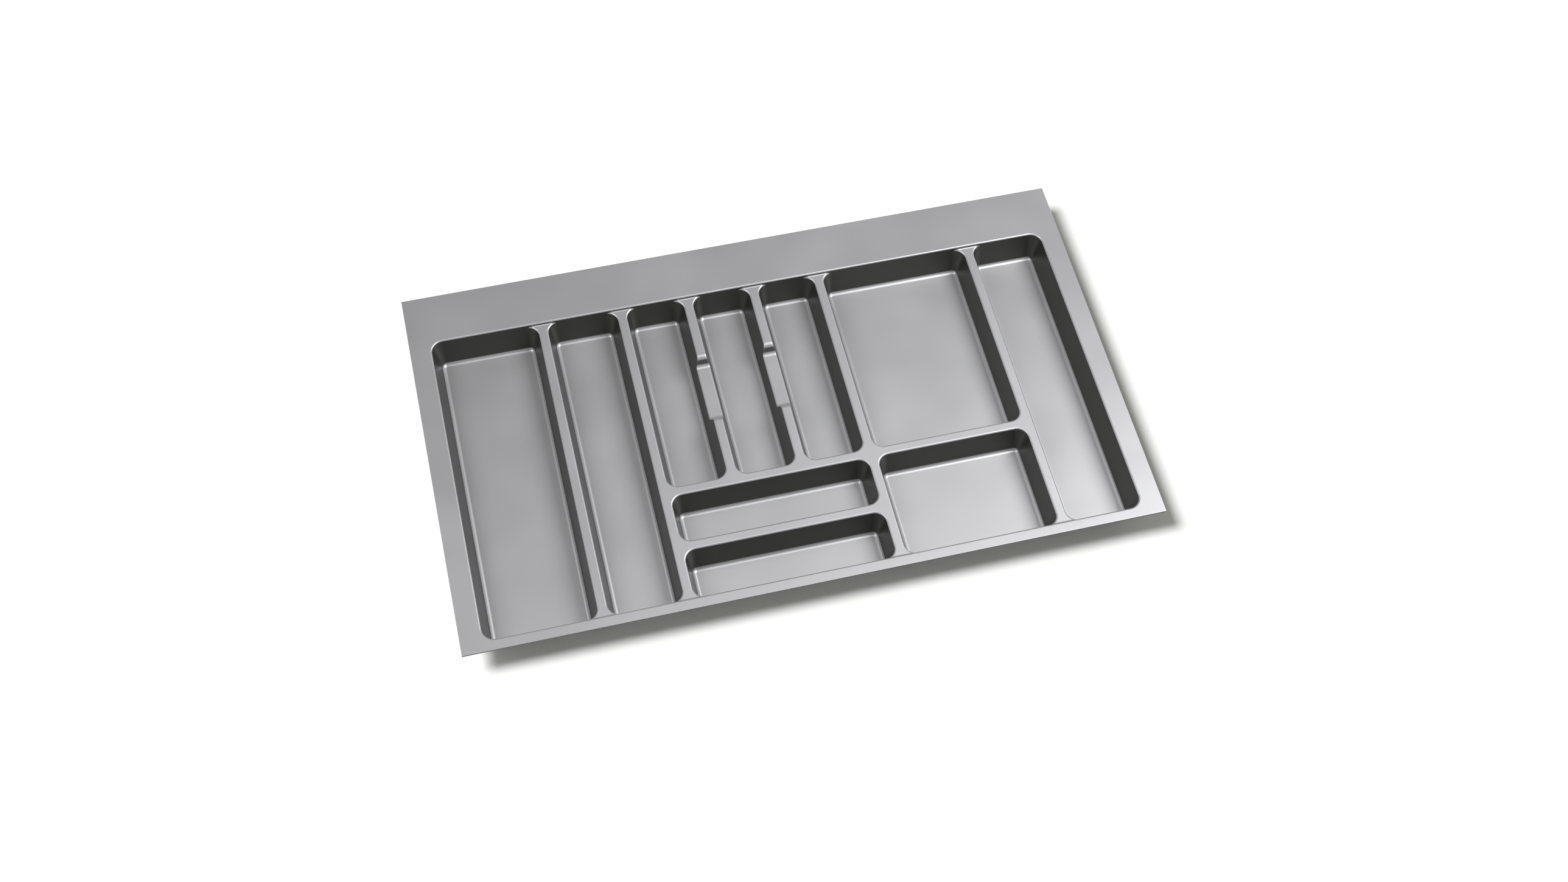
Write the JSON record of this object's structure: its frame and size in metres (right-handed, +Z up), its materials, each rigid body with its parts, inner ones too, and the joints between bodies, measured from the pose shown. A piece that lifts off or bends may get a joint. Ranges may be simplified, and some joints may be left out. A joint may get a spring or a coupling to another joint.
{
  "type": "cutlery tray",
  "caption": "Vacuum-formed drawer insert for cutlery and kitchen utensils, in silver-grey plastic sheet, with drafted compartments and finger saddles.",
  "frame": {"origin": "middle of the footprint, on the plane that the undersides of the floors rest on", "axes": "+X to the right and +Y to the rear, seen from the front of the drawer; +Z up"},
  "size_m": [0.84, 0.49, 0.042],
  "materials": {
    "sheet": "satin"
  },
  "bodies": {
    "root": {"rear_rim": "sheet", "front_rim": "sheet", "left_rim": "sheet", "right_rim": "sheet", "wide_long_divider": "sheet", "long_knife_divider": "sheet", "knife_fork_divider": "sheet", "fork_spoon_divider": "sheet", "spoon_large_divider": "sheet", "large_side_divider": "sheet", "cutlery_cross_divider": "sheet", "cross_divider": "sheet", "large_gadget_divider": "sheet", "wide_compartment": "sheet", "long_compartment": "sheet", "knife_compartment": "sheet", "fork_compartment": "sheet", "spoon_compartment": "sheet", "large_compartment": "sheet", "side_compartment": "sheet", "rear_cross_compartment": "sheet", "front_cross_compartment": "sheet", "gadget_compartment": "sheet"}
  },
  "joints": []
}
